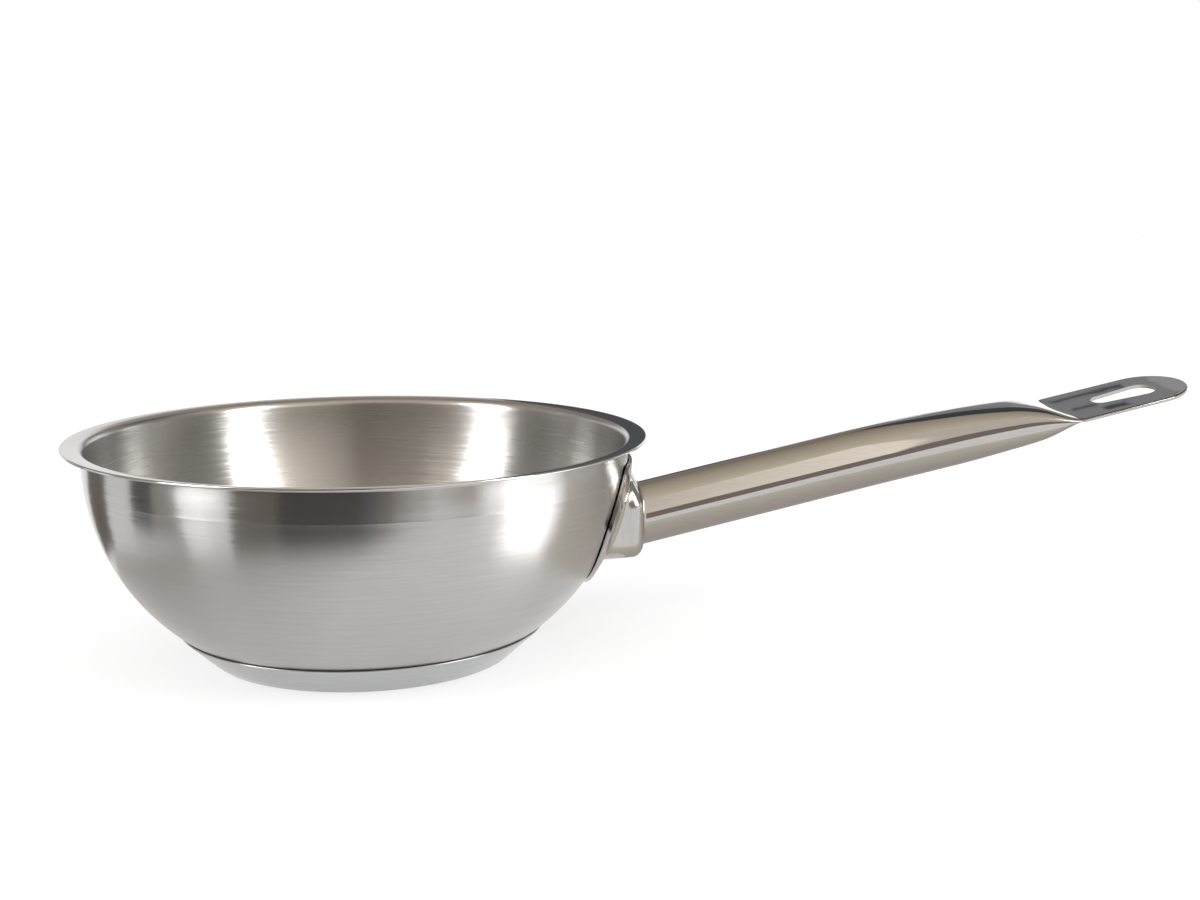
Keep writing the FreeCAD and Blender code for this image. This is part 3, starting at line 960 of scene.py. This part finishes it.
# A dim far corner with dark bars and a bright foot, for the flat end of the handle and the lip beside it
tabWall, markWall = studio["tabWall"], studio["markWall"]
standCard("tabCard", studio["tabColor"], (1.1, tabWall), (right, tabWall), 1.05, 2.39)
makeCard("tabCeiling", studio["darkColor"],
         [(1.0, tabWall, 2.39), (right, tabWall, 2.39), (right, 1.2, 2.39), (1.0, 1.2, 2.39)])
standCard("facetCard", studio["white"], (1.3, tabWall), (right, tabWall), 0, 0.95, 1.5)
standCard("topCard", studio["darkColor"], (1.1, markWall), (right, markWall), 1.92, 2.38)
standCard("lipDark", studio["darkColor"], (0.5, markWall), (0.85, markWall), 0.05, 0.98)
hangCard("tipCard", studio["tipColor"], studio["tipWall"], [
    (1.69, 1.663), (1.70, 1.5), (2.1, 1.5), (2.1, 1.9), (1.8, 1.9), (1.77, 1.743)])
hangCard("barNear", studio["barColor"], markWall, [
    (1.569, 1.685), (1.628, 1.696), (1.649, 1.718), (1.590, 1.707)])
hangCard("barMiddle", studio["barColor"], markWall, [
    (1.502, 1.667), (1.565, 1.677), (1.558, 1.670), (1.494, 1.659)])
hangCard("barFar", studio["barColor"], markWall, [
    (1.431, 1.619), (1.596, 1.650), (1.637, 1.663), (1.625, 1.650), (1.585, 1.639), (1.420, 1.609)])

# A shaded and a warm screen in front of the pan, for the far wall inside
standCard("insideShade", studio["shadeLow"], (-0.312, -0.327), (-0.021, -0.455), 0.1, 0.61,
          fade=("Y", -0.455, -0.327, studio["shadeHigh"]))
standCard("insideGlow", studio["warmLow"], (-0.021, -0.455), (0.307, -0.326), 0.1, 0.61, 1.6,
          fade=("Y", -0.455, -0.326, studio["warmHigh"]))

# Low bright strips beside the pan, for the two glows on the outside
standCard("glintCard", studio["white"], (0.0957, -0.1121), (0.1043, -0.0875), 0, stripTop, 3.3)
standCard("glowCard", studio["glowEdge"], (0.081, -0.1244), (0.0957, -0.1121), 0, stripTop, 3.3,
          fade=("Y", -0.1244, -0.1121, studio["white"]))
standCard("dimCard", studio["white"], (0.1043, -0.0875), (0.1065, -0.074), 0, stripTop, 3.3,
          fade=("Y", -0.0875, -0.074, studio["glowEdge"]))
standCard("leftGlow", studio["white"], (-0.1343, -0.0738), (-0.1257, -0.0962), 0, stripTop, 1.5)

# Mats on the floor, for the dark bands below the lip, and painted shade under the handle and left of the pan
layMat("frontMat", studio["matColor"], [
    (-0.018, -0.166), (-0.056, -0.15), (-0.083, -0.136), (-1.09, -1.435), (-0.165, -1.51)])
layMat("frontSide", studio["halfMatColor"], [
    (-0.083, -0.136), (-0.112, -0.107), (-1.37, -0.915), (-1.09, -1.435)])
layMat("frontHalf", studio["darkColor"], [(-0.018, -0.166), (-0.165, -1.51), (0.03, -1.51), (-0.006, -0.18)])
layMat("frontFade", studio["halfMatColor"], [(-0.006, -0.18), (0.03, -1.51), (0.17, -1.51), (0.012, -0.2)])
layMat("frontPale", studio["paleMatColor"], [(0.012, -0.2), (0.17, -1.51), (0.31, -1.51), (0.036, -0.23)])
layMat("frontEdge", studio["edgeMatAndShadeColor"], [(0.036, -0.23), (0.31, -1.51), (0.44, -1.51), (0.09, -0.27)])
# painted shade: the floor left of the pan, clear where it starts and darker further out
layMat("leftShade", None, [
    (-0.02, -0.16), (-0.02, 0.08), (-0.1, 0.08), (-0.145, 0.04), (-0.15, -0.07), (-0.11, -0.104),
    (-0.082, -0.133), (-0.056, -0.148)], fade=("X", -0.02, -0.12, studio["edgeMatAndShadeColor"]))
layMat("leftFade", studio["paleMatColor"], [
    (-0.155, -0.075), (-0.185, -0.03), (-1.445, 0.06), (-1.44, -0.33)])
layMat("leftMat", studio["matColor"], [(-0.185, -0.03), (-0.205, 0.012), (-1.47, 0.42), (-1.445, 0.06)])
layMat("backMat", studio["halfMatColor"], [(-0.15, 0.05), (-0.115, 0.10), (-1.09, 1.5), (-1.45, 1.0)])
layMat("rightMat", studio["bandColor"], [
    (0.15, -0.235), (0.27, -0.31), (0.5, -0.38), (0.95, -1.6), (0.45, -1.6)])
layMat("rightEnd", studio["bandEnd"], [(0.5, -0.38), (1.8, -0.6), (1.8, -1.6), (0.95, -1.6)])
layMat("tubeShade", studio["shadeNear"], [(0.1, -0.1), (0.5, -0.1), (0.5, 0.4), (0.1, 0.4)],
       fade=("Y", -0.1, 0.03, studio["shadeUnder"]))
makeLamp("rightLamp", (1.04, -0.88), 0.44)
makeLamp("leftLamp", (-1.33, -0.43), 0.5)
print("studio made")

# Camera, fitted to the ellipses of the rim and the base
view = {"place": (-59.4, -555.0, 163.3), "pitch": 9.645, "bearing": 14.54, "lens": 49.23, "sensor": 36}
lens = bpy.data.cameras.new("camera")
lens.lens = view["lens"]
lens.sensor_width = view["sensor"]
camera = bpy.data.objects.new("camera", lens)
bpy.context.collection.objects.link(camera)
camera.location = Vector(view["place"]) * mm
camera.rotation_euler = (math.radians(90 - view["pitch"]), 0, math.radians(-view["bearing"]))
bpy.context.scene.camera = camera
bpy.context.scene.view_settings.view_transform = "Standard"
print("camera set")
